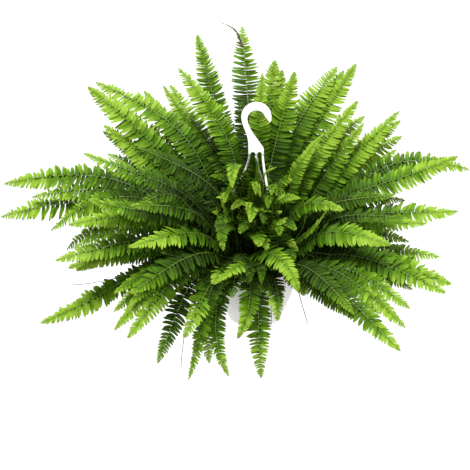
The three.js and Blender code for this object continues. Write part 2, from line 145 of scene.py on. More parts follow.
def kept_mesh(name, form):
    """A finished shape as a mesh."""
    mesh = bpy.data.meshes.new(name)
    form.to_mesh(mesh)
    form.free()
    return mesh


def to_object(name, form, materials):
    """Moves a shape in millimetres above the pot's underside into the frame, as an object."""
    bmesh.ops.translate(form, verts=form.verts, vec=(0, 0, -HOOK_SEAT_HEIGHT))
    bmesh.ops.scale(form, verts=form.verts, vec=(MM, MM, MM))
    mesh = kept_mesh(name, form)
    piece = bpy.data.objects.new(name, mesh)
    bpy.context.scene.collection.objects.link(piece)
    for material in materials:
        mesh.materials.append(material)
    return piece


def turn_by(degrees, axis="Z"):
    """A turn about an axis. The pot's own axis is Z, and azimuths count from +X."""
    return Matrix.Rotation(math.radians(degrees), 4, axis)


def turned(profile, steps=TURN_STEPS):
    """A closed shape that is turned about the pot's axis from its half section."""
    form = bmesh.new()
    corners = [form.verts.new((radius, 0, height)) for radius, height in profile]
    edges = [form.edges.new(pair) for pair in zip(corners, corners[1:])]
    bmesh.ops.spin(
        form,
        geom=corners + edges,
        axis=(0, 0, 1),
        cent=(0, 0, 0),
        angle=2 * math.pi,
        steps=steps,
        use_merge=True,
    )
    bmesh.ops.remove_doubles(form, verts=form.verts, dist=0.001)
    bmesh.ops.recalc_face_normals(form, faces=form.faces)
    return form


def wall_line(inset):
    """The bowl's wall from its base corner to its rim, as (radius, height) points."""
    ends = [(POT_BASE_RADIUS, POT_CORNER), WALL_LOW, WALL_HIGH, (POT_WALL_TOP_RADIUS, RIM_UNDER)]
    line = interpolate_bezier(*[Vector((r, h, 0)) for r, h in ends], WALL_STEPS)
    return [(p.x - inset, p.y) for p in line]


def cut_away(piece, cutters):
    """Cuts closed shapes out of a piece and keeps the result as its mesh."""
    cutter = to_object("cutter", cutters, [])
    difference = piece.modifiers.new("holes", "BOOLEAN")
    difference.object = cutter
    difference.operation = "DIFFERENCE"
    difference.solver = "EXACT"
    view = bpy.context.evaluated_depsgraph_get()
    cut = bpy.data.meshes.new_from_object(piece.evaluated_get(view))
    piece.modifiers.clear()
    piece.data = cut
    bpy.data.objects.remove(cutter)


def rounded_edges(piece, width, segments=2):
    """Gives a moulded piece its small round edges and smooth faces between them."""
    bevel = piece.modifiers.new("round_edges", "BEVEL")
    bevel.width = width * MM
    bevel.segments = segments
    bevel.limit_method = "ANGLE"
    bevel.angle_limit = math.radians(35)
    bevel.harden_normals = True
    for face in piece.data.polygons:
        face.use_smooth = True


outer_wall = wall_line(0)
inner_wall = [point for point in wall_line(POT_WALL) if POT_FLOOR + 1 < point[1] < RIM_UNDER - 1]
pot_section = (
    [(0, 0), (POT_BASE_RADIUS - POT_CORNER, 0), (POT_BASE_RADIUS - BASE_CORNER[0], BASE_CORNER[1])]
    + outer_wall
    + [
        (POT_RIM_RADIUS - POT_WALL, RIM_UNDER),
        (POT_RIM_RADIUS - POT_WALL, POT_HEIGHT - RIM_SKIRT),
        (POT_RIM_RADIUS, POT_HEIGHT - RIM_SKIRT),
        (POT_RIM_RADIUS, POT_HEIGHT),
        (POT_WALL_TOP_RADIUS - POT_WALL, POT_HEIGHT),
    ]
    + inner_wall[::-1]
    + [(POT_BASE_RADIUS - POT_CORNER - POT_WALL, POT_FLOOR), (0, POT_FLOOR)]
)
pot_cuts = bmesh.new()
for azimuth in LEG_AZIMUTHS:
    place = turn_by(azimuth) @ Matrix.Translation((LEG_SEAT_RADIUS, 0, POT_HEIGHT))
    bmesh.ops.create_cube(pot_cuts, size=1, matrix=place @ Matrix.Diagonal((*SLOT_SIZE, 1)))
for i in range(DRAIN_HOLES):
    bmesh.ops.create_cone(
        pot_cuts,
        cap_ends=True,
        segments=DRAIN_SIDES,
        radius1=DRAIN_RADIUS,
        radius2=DRAIN_RADIUS,
        depth=DRAIN_CUT,
        matrix=turn_by(360 * (i + 0.5) / DRAIN_HOLES) @ Matrix.Translation((DRAIN_CIRCLE, 0, 0)),
    )

# The pot's whites are painted greyer than the hanger's: painted shade of the fronds that hang over it.
shaded_pot_plastic = moulded_white("moulded_white_polypropylene_pot_painted_shade", "#e0dfdb", "#d7d4cd", 0.25)
pot = to_object("pot_bowl", turned(pot_section), [shaded_pot_plastic])
cut_away(pot, pot_cuts)
rounded_edges(pot, MOULD_EDGE)
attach(pot, "root")
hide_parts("pot")

# The hanger: one white moulding with a flat swan-necked hook, a hub with two small arches, and three
# legs that spread to the rim. Each foot is pushed through its slot in the rim and turned.
HOOK_SEAT_ABOVE_HUB = 86
HOOK_INNER_RADIUS = 16.5
HOOK_OUTER_RADIUS = 28
HOOK_THICKNESS = 6
HOOK_RISE = 3
HOOK_POINT = (24.5, 62.5)
HOOK_POINT_HEIGHT = 4
NECK_INSIDE = ((5, 26.5), (-16.5, 49.5))
NECK_OUTSIDE = ((-26, 53.5), (-16, 41.5))
NECK_FOOT = (-15, 22)
HUB_SHOULDER = 10.5
HUB_HALF_WIDTH = 14.5
LEG_WIDTH = 4
LEG_THICKNESS = 3
LEG_SPACING = 12.5
LEG_TOP_PULL = 45
LEG_FOOT_PULL = 70
LEG_STRAIGHT = 14
LEG_SINK = 4
LEG_STEPS = 28
FOOT_SIZE = (3, 10, 3)
FOOT_GAP = 0.3
HUB_FOOT = HOOK_SEAT_HEIGHT - HOOK_SEAT_ABOVE_HUB
EYE_HEIGHT = HOOK_SEAT_ABOVE_HUB - HOOK_INNER_RADIUS
HANGER_EDGE = 0.7
Z_AXIS = Vector((0, 0, 1))


def arc(x, height, radius, start, end, steps):
    """Points of an arc between two angles in degrees, both ends among them."""
    angles = [math.radians(start + (end - start) * i / steps) for i in range(steps + 1)]
    return [(x + radius * math.cos(a), height + radius * math.sin(a)) for a in angles]


def bent(*ends, steps=12):
    """Points of a cubic curve from its first point to its last, the first one left out."""
    return [(p.x, p.y) for p in interpolate_bezier(*[Vector((*e, 0)) for e in ends], steps + 1)][1:]


def swept_bar(form, section, frames):
    """Pushes a flat section through a row of frames: a bar with closed ends."""
    cap = form.faces.new([form.verts.new(frames[0] @ point) for point in section])
    for before, after in zip(frames, frames[1:]):
        pushed = bmesh.ops.extrude_face_region(form, geom=[cap], use_keep_orig=before is frames[0])["geom"]
        corners = [g for g in pushed if isinstance(g, bmesh.types.BMVert)]
        cap = next(g for g in pushed if isinstance(g, bmesh.types.BMFace))
        bmesh.ops.transform(form, verts=corners, matrix=after @ before.inverted())


hook_outline = [(HUB_HALF_WIDTH, 0), (HUB_HALF_WIDTH, HUB_SHOULDER)]
hook_outline += bent((HUB_HALF_WIDTH, HUB_SHOULDER), *NECK_INSIDE, (-HOOK_INNER_RADIUS, EYE_HEIGHT))
hook_outline += arc(0, EYE_HEIGHT, HOOK_INNER_RADIUS, 180, 20, 24)[1:]
hook_outline += [HOOK_POINT, (HOOK_OUTER_RADIUS, HOOK_POINT[1] + HOOK_POINT_HEIGHT)]
hook_outline += arc(0, EYE_HEIGHT + HOOK_RISE, HOOK_OUTER_RADIUS, -6, 186, 32)
hook_outline += bent(hook_outline[-1], *NECK_OUTSIDE, NECK_FOOT) + [(-HUB_HALF_WIDTH, 0)]
for middle in (-LEG_SPACING / 2, LEG_SPACING / 2):
    hook_outline += arc(middle, 0, (LEG_SPACING - LEG_WIDTH) / 2, 180, 0, 10)

hanger_form = bmesh.new()
plate = [Vector((x, -HOOK_THICKNESS / 2, HUB_FOOT + height)) for x, height in hook_outline]
swept_bar(hanger_form, plate, [Matrix.Identity(4), Matrix.Translation((0, HOOK_THICKNESS, 0))])
leg_section = [
    Vector((across * LEG_WIDTH / 2, out * LEG_THICKNESS / 2, 0))
    for across, out in ((1, 1), (-1, 1), (-1, -1), (1, -1))
]
for i, azimuth in enumerate(LEG_AZIMUTHS):
    outward = turn_by(azimuth) @ Vector((1, 0, 0))
    across = Z_AXIS.cross(outward)
    top = Vector(((i - 1) * LEG_SPACING, 0, HUB_FOOT))
    seat = outward * LEG_SEAT_RADIUS + Z_AXIS * POT_HEIGHT
    foot_height = -RIM_THICKNESS - FOOT_GAP - FOOT_SIZE[2] / 2
    pulls = (top - Z_AXIS * LEG_TOP_PULL, seat + Z_AXIS * LEG_FOOT_PULL)
    sweep = interpolate_bezier(top, *pulls, seat + Z_AXIS * LEG_STRAIGHT, LEG_STEPS)
    line = [top + Z_AXIS * LEG_SINK, *sweep, seat + Z_AXIS * foot_height]
    frames = []
    for k, point in enumerate(line):
        along = (line[min(k + 1, len(line) - 1)] - line[max(k - 1, 0)]).normalized()
        out = across.cross(along).normalized()
        turn = Matrix((across, out, across.cross(out))).transposed().to_4x4()
        frames.append(Matrix.Translation(point) @ turn)
    swept_bar(hanger_form, leg_section, frames)
    foot_place = turn_by(azimuth) @ Matrix.Translation((LEG_SEAT_RADIUS, 0, POT_HEIGHT + foot_height))
    bmesh.ops.create_cube(hanger_form, size=1, matrix=foot_place @ Matrix.Diagonal((*FOOT_SIZE, 1)))
bmesh.ops.recalc_face_normals(hanger_form, faces=hanger_form.faces)

hanger_plastic = moulded_white("moulded_white_polypropylene_hanger", "#fbfbf8", "#f0efe9", 0.15)
hanger = to_object("hanger_moulding", hanger_form, [hanger_plastic])
rounded_edges(hanger, HANGER_EDGE, segments=3)
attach(hanger, "root")
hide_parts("hanger")

# The soil: dark peat with bark crumbs, pressed into the bowl by hand, a little lower along its edge.
# The stalks stand in it.
SOIL_TOP = 116
SOIL_EDGE = 3
SOIL_INSET = POT_WALL + 0.6
SOIL_GAP = 0.3  # above the pot's floor
SOIL_RINGS = 44
SOIL_TURN_STEPS = 144
SOIL_SHOULDER = (1.5, 1)  # of its rounded edge: inwards from the wall, and above it
CRUMB_SIZES = ((5.0, 1.3), (2.2, 0.7))  # width of a crumb, and how far it stands up
CRUMB_DRAW = Vector((7, 3, 5))
SETTLING = 0.8


# Peat: matt and nearly black-brown, with lighter fibres and bark, in small crumbs that cling in clumps.
def peat():
    material, tree, place, surface = new_material("peat_potting_soil")
    crumbs = add_node(tree, "ShaderNodeTexVoronoi", Vector=place, Scale=grain(2.38)).outputs["Distance"]
    clumps = add_node(tree, "ShaderNodeTexNoise", Vector=place, Scale=grain(8.33), Detail=6.0, Roughness=0.7)
    tint = add_node(tree, "ShaderNodeValToRGB", Fac=clumps.outputs["Fac"])
    colour_steps(tint, [(0.3, "#17110c"), (0.5, "#2e2117"), (0.68, "#4a3624"), (0.85, "#7a6046")])
    height = add_node(tree, "ShaderNodeMath", {"operation": "SUBTRACT"}, _0=clumps.outputs["Fac"], _1=crumbs)
    bump = add_node(tree, "ShaderNodeBump", Height=height.outputs["Value"], Strength=0.9, Distance=1.5 * MM)
    skin = add_node(
        tree,
        "ShaderNodeBsdfPrincipled",
        Base_Color=tint.outputs["Color"],
        Normal=bump.outputs["Normal"],
        Roughness=0.95,
        IOR=1.4,
    )
    tree.links.new(skin.outputs["BSDF"], surface)
    return material


soil_wall = [(r, h) for r, h in wall_line(SOIL_INSET) if POT_FLOOR + 2 < h < SOIL_TOP - SOIL_EDGE]
soil_edge = max(r for r, h in soil_wall)
soil_surface = [(soil_edge - SOIL_SHOULDER[0], SOIL_TOP - SOIL_EDGE + SOIL_SHOULDER[1])]
soil_surface += [((soil_edge - SOIL_EDGE) * (1 - k / SOIL_RINGS), SOIL_TOP) for k in range(SOIL_RINGS + 1)]
soil_base = POT_BASE_RADIUS - POT_CORNER - SOIL_INSET
soil_under = [(0, POT_FLOOR + SOIL_GAP), (soil_base, POT_FLOOR + SOIL_GAP)]
soil_form = turned(soil_under + soil_wall + soil_surface, steps=SOIL_TURN_STEPS)
for vertex in soil_form.verts:
    if vertex.co.z > SOIL_TOP - SOIL_EDGE:
        lumps = [height * noise.noise(vertex.co / size + CRUMB_DRAW) for size, height in CRUMB_SIZES]
        vertex.co.z += sum(lumps) - SETTLING
for face in soil_form.faces:
    face.smooth = True
soil = to_object("peat_soil", soil_form, [peat()])
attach(soil, "root")
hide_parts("soil")

# The fronds: each has a wiry stalk and rib, and two rows of thin leaflets that grow turn by turn from
# its flanks. A leaflet is finely waved, has a small ear where it joins the rib, and bends to the tip.
STALK_THICKNESS = 3
RIB_TIP_THICKNESS = 1.0
STALK_DEPTH = 10
RIB_SIDES = 7
RIB_STEP = 15  # between two sections of the rib
SLIMMEST = (0.55, 0.6)  # stalk and rib's tip of a small frond, as shares of those above
CROWN_RADIUS = 64
CROWN_POWER = 0.8
CURVE_PULL = 0.4
CURVE_POINTS = 80
FIRST_LEAFLET = 0.5
OPENING_SHARE = 0.2
TAPER_LENGTH = 104
TAPER_SHARE = 0.5
TAPER_POWER = 0.62
USUAL_HALF_WIDTH = 27  # of the blade that the sizes of leaflets and stalk are for
STEEP_FROM = 45
STEEP_TO = 75  # first slope of the fronds whose leaflets stand closest and are narrowest
FULLNESS = 1.1  # fully grown leaflets, against the half widths below
LEAFLET_SPACING = 8.6  # along one flank, where the leaflets are longest
LEAFLET_WIDTH = 7.4  # of the longest, near its foot
SHORTEST_LEAFLET = 1.6
LEAFLET_FOLD = 0.8  # from the midrib up to its edges
LEAFLET_CRIMP = 0.05  # of its edge, in half widths
EDGE_SHIFT = 0.03  # of its ear's edge towards its point, in lengths
WAVE_STEP = 2.1  # from one row of points to the next, in radians
LEAFLET_SWEEP = 7  # towards the frond's tip, in degrees
TIP_SWEEP = 26  # what the last leaflets add to it
LEAFLET_DROOP = 11
LEAFLET_THICKNESS = 0.35
FULL_RELIEF = 8  # width of the leaflets whose fold and thickness are those above
LEAFLET_SHAPES = 8
SEEDS_PER_NODE = 100
LIGHT_TURN = 32
# How far along a leaflet each row of points lies, and its half widths towards the frond's tip and foot.
# The plain one is for fronds inside the crown, for buds and for shrivelled leaflets.
LEAFLET_OUTLINE = (
    (0.0, 0.5, 0.34),
    (0.08, 0.68, 0.38),
    (0.26, 0.52, 0.46),
    (0.47, 0.48, 0.48),
    (0.68, 0.43, 0.43),
    (0.88, 0.29, 0.3),
    (1.0, 0.0, 0.0),
)
PLAIN_OUTLINE = ((0.0, 0.5, 0.36), (0.1, 0.64, 0.4), (0.4, 0.5, 0.48), (0.76, 0.38, 0.38), (1.0, 0.0, 0.0))

# Each frond as it grows: its node, azimuth in degrees from +X, reach and height of its tip from its
# root, first and last slope, sideways sway, twist of its tip, half width of its blade, length of its
# bare stalk, and how young and bright it is, low in the crown's shade as painted shade. The rows of
# one node share the root of its first.
FRONDS = [
    # the upright fan behind the hook, from left to right
    (1, 140, 177, 357, 80, 37, 0, 10, 28, 30, 0.7),
    (2, 121, 197, 406, 73, 60, 4, -8, 25, 30, 0.45),
    (3, 97, 197, 418, 85, 48, 6, 8, 28, 150, 0.5),
    (4, 74, 119, 371, 80, 66, 0, 0, 33, 150, 0.8),
    (4, 68, 127, 351, 84, 76, 0, 0, 25, 150, 0.75),
    (5, 46, 95, 364, 84, 68, 0, -8, 30, 140, 0.75),
    (6, 45, 207, 349, 77, 36, 0, 8, 30, 110, 0.75),
    (7, 38, 223, 357, 70, 46, 0, 0, 27, 30, 0.8),
    (8, 43, 213, 341, 72, 42, 6, 0, 26, 30, 1.05),
    # right-hand side, from high to low
    (9, 28, 194, 298, 66, 44, 0, -8, 26, 30, 1.0),
    (10, 31, 217, 258, 62, 26, 6, 8, 26, 30, 0.65),
    (11, 20, 255, 278, 54, 42, 0, -8, 26, 30, 0.8),
    (12, 28, 289, 207, 46, 16, -6, 8, 26, 30, 0.8),
    (13, 24, 269, 250, 50, 30, 0, 0, 25, 30, 0.75),
    (14, 40, 343, 141, 42, 10, 0, 0, 27, 30, 0.8),
    (15, -2, 336, 228, 56, 26, 0, 10, 28, 30, 0.65),
    (16, 8, 370, 173, 42, -19, 6, 0, 27, 30, 0.5),
    (17, -8, 333, 134, 46, 6, 0, -8, 30, 30, 0.65),
    (17, -16, 277, 122, 43, 4, 0, 0, 26, 30, 0.6),
    (18, -11, 295, 46, 26, -5, 0, 0, 26, 30, 0.65),
    (19, -4, 246, 55, 42, -20, 0, 0, 24, 30, 0.6),
    (20, -24, 334, 35, 37, -8, 0, 10, 30, 30, 0.6),
    (20, -28, 332, 27, 36, -16, 0, 0, 26, 30, 0.6),
    (21, -36, 284, 7, 33, -26, 0, 0, 25, 30, 0.65),
    (21, -41, 291, -18, 38, -32, -8, -10, 26, 30, 0.75),
    (22, -50, 329, -24, 34, -25, -12, 0, 26, 30, 0.5),
    (22, -56, 240, 19, 46, -24, 0, 0, 22, 30, 0.3),
    (22, -52, 90, -13, 78, -74, 0, 0, 22, 30, 0.9),
    # front fronds that hang over the rim, from right to left
    (23, -86, 102, -173, 48, -84, -10, 0, 24, 30, 0.75),
    (23, -71, 112, -46, 58, -80, 6, -10, 21, 30, 0.85),
    (24, -106, 142, -150, 52, -72, -80, 10, 20, 30, 0.5),
    (24, -101, 122, -78, 56, -80, 40, 0, 21, 30, 0.75),
    (25, -121, 126, -140, 50, -80, -34, -6, 26, 30, 0.8),
    (26, -128, 169, -70, 44, -50, 8, 0, 28, 30, 0.8),
    (26, -118, 106, 22, 46, -30, 0, 0, 22, 30, 0.8),
    (26, -126, 166, -161, 40, -74, 22, 26, 18, 30, 0.6),
    # left-hand side, from low to high
    (27, -143, 247, -67, 42, -44, 0, 0, 26, 30, 0.8),
    (27, -150, 257, -60, 38, -44, 0, 8, 25, 30, 0.8),
    (27, -137, 198, -129, 44, -60, 0, -8, 24, 30, 0.3),
    (28, -157, 236, -46, 33, -36, 0, 0, 25, 30, 0.65),
    (29, -166, 311, 33, 38, -14, 0, -8, 27, 30, 0.8),
    (29, -167, 370, -81, 18, -17, 0, 0, 27, 30, 0.8),
    (30, -160, 340, 71, 42, -8, 0, 0, 27, 30, 0.6),
    (30, -160, 312, 138, 46, -4, 0, -8, 26, 30, 0.65),
    (31, -171, 347, 98, 54, -42, 0, 10, 26, 30, 0.5),
    (31, -174, 322, 48, 42, -46, 0, 0, 29, 30, 0.5),
    (32, 175, 446, 79, 34, -19, 0, 0, 30, 75, 0.6),
    (33, 171, 452, 135, 44, -15, 0, -6, 28, 30, 0.6),
    (33, 175, 388, 122, 40, -14, 0, 0, 26, 30, 0.5),
    (34, -172, 285, 246, 62, 26, 0, 8, 26, 105, 0.6),
    (35, -155, 293, 195, 60, 26, 0, 0, 26, 30, 0.4),
    (35, -150, 223, 178, 58, 12, 0, 0, 25, 30, 0.3),
    (36, 161, 300, 324, 54, 36, 0, -8, 29, 30, 0.7),
    (36, 156, 286, 226, 56, 22, 0, 0, 26, 30, 0.5),
    (36, 166, 256, 200, 50, 20, 0, 0, 25, 30, 0.45),
    (37, 148, 342, 306, 64, 12, 0, 8, 29, 30, 0.75),
    (38, 137, 270, 285, 62, 40, 0, 0, 26, 30, 0.8),
    (39, 128, 262, 294, 80, 30, 24, 0, 26, 30, 0.7),
    # inner fronds that arch towards the front
    (40, -155, 211, 279, 74, 32, 0, 0, 30, 30, 0.0),
    (41, -110, 120, 210, 84, -40, -40, 10, 20, 30, 0.5),
    (41, -115, 135, 90, 76, -66, -36, 0, 22, 30, 0.25),
    (42, -142, 249, 120, 56, 2, 0, 8, 28, 30, 0.8),
    (43, -133, 280, 59, 50, -8, -6, -8, 28, 30, 0.3),
    (44, -32, 238, 111, 50, -4, 0, 10, 28, 30, 0.75),
    (45, -28, 150, 150, 66, -10, 6, 0, 26, 30, 0.5),
    (45, -38, 62, 96, 80, -30, 0, 8, 16, 35, 0.95),
    (45, -46, 74, 58, 70, -44, 0, 0, 14, 35, 0.95),
    (46, -82, 56, 132, 77, -24, 0, -8, 18, 35, 0.9),
    (46, -78, 84, 74, 74, -50, 0, 0, 18, 35, 0.9),
    # fronds at the back
    (47, 67, 340, 70, 46, -20, 0, 0, 27, 75, 0.5),
    (48, 76, 270, -40, 40, -50, 0, 0, 25, 30, 0.4),
    (49, 84, 320, 140, 56, -8, 8, 8, 27, 30, 0.6),
    (50, 92, 250, 245, 68, 16, 0, 0, 26, 30, 0.55),
    (51, 101, 360, 40, 44, -28, 0, -8, 27, 30, 0.45),
    (52, 93, 240, -90, 40, -64, 0, 0, 24, 30, 0.4),
    (53, 118, 330, 130, 54, -10, -8, 0, 27, 30, 0.6),
    (54, 108, 280, 205, 61, 10, 0, 0, 26, 30, 0.65),
    (55, 136, 350, 50, 42, -24, 0, 8, 27, 30, 0.5),
    (56, 122, 260, -70, 40, -58, 0, 0, 25, 30, 0.4),
]

MIDRIB_SHARE = 0.16  # of a leaflet's half width
VEIN_PAIRS = 18  # 1.7 mm apart on a leaflet of 30 mm
VEIN_SLANT = 0.12  # towards its point
LIGHT_THROUGH = 0.22


# Fern leaflet: a thin green blade that lets light through. Its midrib is a pale line with fine side
# veins. Old blades are deep green, young ones and the frond's tip are yellow-green. Painted shade makes
# each leaflet darker by the rib and each frond darker towards the crown.
def leaflet_green():
    material, tree, place, surface = new_material("fern_leaflet_blade")
    youth_and_shade = add_node(tree, "ShaderNodeAttribute", {"attribute_name": "youth_and_shade"}).outputs["Fac"]
    along = add_node(tree, "ShaderNodeAttribute", {"attribute_name": "leaf_along"}).outputs["Fac"]
    across = add_node(tree, "ShaderNodeAttribute", {"attribute_name": "leaf_across"}).outputs["Fac"]
    mottle = add_node(tree, "ShaderNodeTexNoise", Vector=place, Scale=grain(11.1), Detail=3.0, Roughness=0.6)
    shade = add_node(
        tree, "ShaderNodeMath", {"operation": "MULTIPLY_ADD"}, _0=mottle.outputs["Fac"], _1=0.4, _2=-0.34
    ).outputs["Value"]
    # painted shade: each leaflet is darker at its foot by the rib and lighter towards its point, with a
    # random mottle on top
    rib_shade_and_mottle = add_node(tree, "ShaderNodeMath", {"operation": "MULTIPLY_ADD"}, _0=along, _1=0.34, _2=shade)
    tone = add_node(tree, "ShaderNodeMath", {"operation": "ADD"}, _0=youth_and_shade, _1=rib_shade_and_mottle.outputs["Value"])
    blade = add_node(tree, "ShaderNodeValToRGB", Fac=tone.outputs["Value"])
    greens = [(0.0, "#0f1f06"), (0.3, "#223a07"), (0.55, "#375908"), (0.8, "#567e12"), (1.0, "#88aa32")]
    colour_steps(blade, greens)
    off_middle = add_node(tree, "ShaderNodeMath", {"operation": "ABSOLUTE"}, _0=across).outputs["Value"]
    midrib = add_node(
        tree, "ShaderNodeMapRange", Value=off_middle, From_Max=MIDRIB_SHARE, To_Min=0.5, To_Max=0.0
    )
    veined = add_node(
        tree,
        "ShaderNodeMix",
        {"data_type": "RGBA"},
        _0=midrib.outputs["Result"],
        _6=blade.outputs["Color"],
        _7=colour("#6b8714"),
    ).outputs[2]
    slant = add_node(
        tree, "ShaderNodeMath", {"operation": "MULTIPLY_ADD"}, _0=off_middle, _1=-VEIN_SLANT, _2=along
    ).outputs["Value"]
    turns = 2 * math.pi * VEIN_PAIRS
    ripple = add_node(tree, "ShaderNodeMath", {"operation": "MULTIPLY"}, _0=slant, _1=turns)
    veins = add_node(tree, "ShaderNodeMath", {"operation": "SINE"}, _0=ripple.outputs["Value"])
    bump = add_node(tree, "ShaderNodeBump", Height=veins.outputs["Value"], Strength=0.35, Distance=0.2 * MM)
    front = add_node(
        tree,
        "ShaderNodeBsdfPrincipled",
        Base_Color=veined,
        Normal=bump.outputs["Normal"],
        Roughness=0.5,
        IOR=1.42,
        Specular_IOR_Level=0.1,
    )
    through = add_node(tree, "ShaderNodeBsdfTranslucent", Color=veined)
    blend = add_node(
        tree, "ShaderNodeMixShader", _0=LIGHT_THROUGH, _1=front.outputs["BSDF"], _2=through.outputs["BSDF"]
    )
    tree.links.new(blend.outputs["Shader"], surface)
    return material


# Frond rib: smooth and wiry, pale green towards the tip, and brown with small scales at its foot.
def rib_green():
    material, tree, place, surface = new_material("fern_rib_and_stalk")
    share = add_node(tree, "ShaderNodeAttribute", {"attribute_name": "rib_share"}).outputs["Fac"]
    scales = add_node(tree, "ShaderNodeTexNoise", Vector=place, Scale=grain(1.43), Detail=3.0, Roughness=0.7)
    shade = add_node(
        tree, "ShaderNodeMath", {"operation": "MULTIPLY_ADD"}, _0=scales.outputs["Fac"], _1=0.3, _2=-0.15
    )
    tone = add_node(tree, "ShaderNodeMath", {"operation": "ADD"}, _0=share, _1=shade.outputs["Value"])
    tint = add_node(tree, "ShaderNodeValToRGB", Fac=tone.outputs["Value"])
    colour_steps(tint, [(0.0, "#27200e"), (0.15, "#3d4716"), (0.5, "#496619"), (1.0, "#76922b")])
    bump = add_node(tree, "ShaderNodeBump", Height=scales.outputs["Fac"], Strength=0.4, Distance=0.3 * MM)
    skin = add_node(
        tree,
        "ShaderNodeBsdfPrincipled",
        Base_Color=tint.outputs["Color"],
        Normal=bump.outputs["Normal"],
        Roughness=0.5,
        IOR=1.42,
    )
    tree.links.new(skin.outputs["BSDF"], surface)
    return material


LEAFLET_GREEN = leaflet_green()
RIB_GREEN = rib_green()


def leaflet_shape(seed, hand, outline):
    """A leaflet of length and width 1 that lies along +X. Its ear is towards +Y times hand."""
    draw = random.Random(seed)
    rows = len(outline) - 1
    bend = draw.uniform(0.1, 0.5)  # towards the frond's tip, in widths
    hang = draw.uniform(0.4, 2.4)  # of its point
    wave = draw.uniform(0.4, 0.9)
    start = draw.uniform(0, 2 * math.pi)
    form = bmesh.new()
    along = form.verts.layers.float.new("leaf_along")
    across = form.verts.layers.float.new("leaf_across")
    bmesh.ops.create_grid(form, x_segments=rows, y_segments=2, size=0.5)
    for vertex in form.verts:
        row = round((vertex.co.x + 0.5) * rows)
        side = round(2 * vertex.co.y) * hand
        share, upper, lower = outline[row]
        notch = 1 + LEAFLET_CRIMP * math.cos(math.pi * row)
        half = (upper if side > 0 else lower) * notch
        ripple = wave * math.sin(start + WAVE_STEP * row + side) * min(1, 6 * share)
        vertex[along] = share
        vertex[across] = side
        vertex.co.x = share + (EDGE_SHIFT * side if 0 < row < rows else 0)
        vertex.co.y = hand * (side * half + bend * share * share)
        vertex.co.z = abs(side) * (LEAFLET_FOLD + ripple) - hang * share * share
    bmesh.ops.remove_doubles(form, verts=form.verts, dist=1e-5)
    bmesh.ops.triangulate(form, faces=form.faces)
    rim = [edge for edge in form.edges if edge.is_boundary]
    for edge in rim:
        edge.smooth = False
    under = bmesh.ops.duplicate(form, geom=form.verts[:] + form.edges[:] + form.faces[:])["geom"]
    bmesh.ops.reverse_faces(form, faces=[g for g in under if isinstance(g, bmesh.types.BMFace)])
    middle = [g for g in under if isinstance(g, bmesh.types.BMVert) and not g.is_boundary]
    bmesh.ops.translate(form, verts=middle, vec=(0, 0, -LEAFLET_THICKNESS))
    bmesh.ops.remove_doubles(form, verts=form.verts, dist=1e-5)
    bmesh.ops.recalc_face_normals(form, faces=form.faces)
    for face in form.faces:
        face.smooth = True
    return kept_mesh("leaflet_shape", form)


def leaflet_shapes(outline):
    """The shapes that fronds draw their leaflets from, for each hand."""
    seeds = range(LEAFLET_SHAPES)
    return {hand: [leaflet_shape(seed, hand, outline) for seed in seeds] for hand in (1, -1)}


FINE_LEAFLETS = leaflet_shapes(LEAFLET_OUTLINE)
PLAIN_LEAFLETS = leaflet_shapes(PLAIN_OUTLINE)


def leafy_form():
    """An empty shape whose points keep what the materials of leaflets and ribs read from them."""
    form = bmesh.new()
    for name in ("leaf_along", "leaf_across", "youth_and_shade", "rib_share"):
        form.verts.layers.float.new(name)
    return form


def with_distances(points):
    """The points of a line, and how far along it each one lies."""
    distances = [0.0]
    for a, b in zip(points, points[1:]):
        distances.append(distances[-1] + (b - a).length)
    return points, distances


def frond_line(reach, height, rise, fall, sway):
    """A frond's rib from its root to its tip in its own plane, as points with their distances."""
    pull = CURVE_PULL * (reach + abs(height))
    up, down = math.radians(rise), math.radians(fall)
    points = interpolate_bezier(
        Vector((0, 0, 1)),
        Vector((pull * math.cos(up), 0, pull * math.sin(up))),
        Vector((reach - pull * math.cos(down), sway, height - pull * math.sin(down))),
        Vector((reach, 0, height)),
        CURVE_POINTS,
    )
    return with_distances(points)


def blade_turn(azimuth, twist, share):
    """How far a blade has turned about its rib: those at the sides turn their faces to the light in front."""
    return math.radians(LIGHT_TURN * math.cos(math.radians(azimuth)) * min(1, 3 * share) + twist * share)


def frame_at(line, distance, twist):
    """The frame at a distance along a rib: X along it, Y to its left and Z out of its upper side."""
    points, distances = line
    k = 1
    while k < len(distances) - 1 and distances[k] < distance:
        k += 1
    share = (distance - distances[k - 1]) / (distances[k] - distances[k - 1])
    before, after = points[max(k - 2, 0)], points[min(k + 1, len(points) - 1)]
    along = (after - before).normalized()
    side = Vector((0, 1, 0))
    side = (side - along * side.dot(along)).normalized()
    side.rotate(Matrix.Rotation(twist, 3, along))
    turn = Matrix((along, side, along.cross(side))).transposed().to_4x4()
    return Matrix.Translation(points[k - 1].lerp(points[k], share)) @ turn


def rib(form, line, thick, thin, depth, place, step=RIB_STEP):
    """A round tapered rib with closed ends; depth is how far its stalk stands in the soil."""
    share_layer = form.verts.layers.float["rib_share"]
    length = line[1][-1]
    steps = max(4, round(length / step))
    frames = [frame_at(line, length * i / steps, 0) for i in range(steps + 1)]
    ring = [turn_by(360 * i / RIB_SIDES, "X") @ Vector((0, 0.5, 0)) for i in range(RIB_SIDES)]
    sized = []
    if depth:
        upright = Matrix.Translation((0, 0, -depth)) @ turn_by(-90, "Y")
        sized.append(place @ upright @ Matrix.Scale(thick, 4))
    for i, spot in enumerate(frames):
        sized.append(place @ spot @ Matrix.Scale(thick + (thin - thick) * i / steps, 4))
    first = len(form.verts)
    swept_bar(form, ring, sized)
    form.verts.ensure_lookup_table()
    made = form.verts[first:]
    for index, vertex in enumerate(made):
        vertex[share_layer] = max(0, index // RIB_SIDES - bool(depth)) / steps
        for face in vertex.link_faces:
            face.material_index = 1
            face.smooth = True


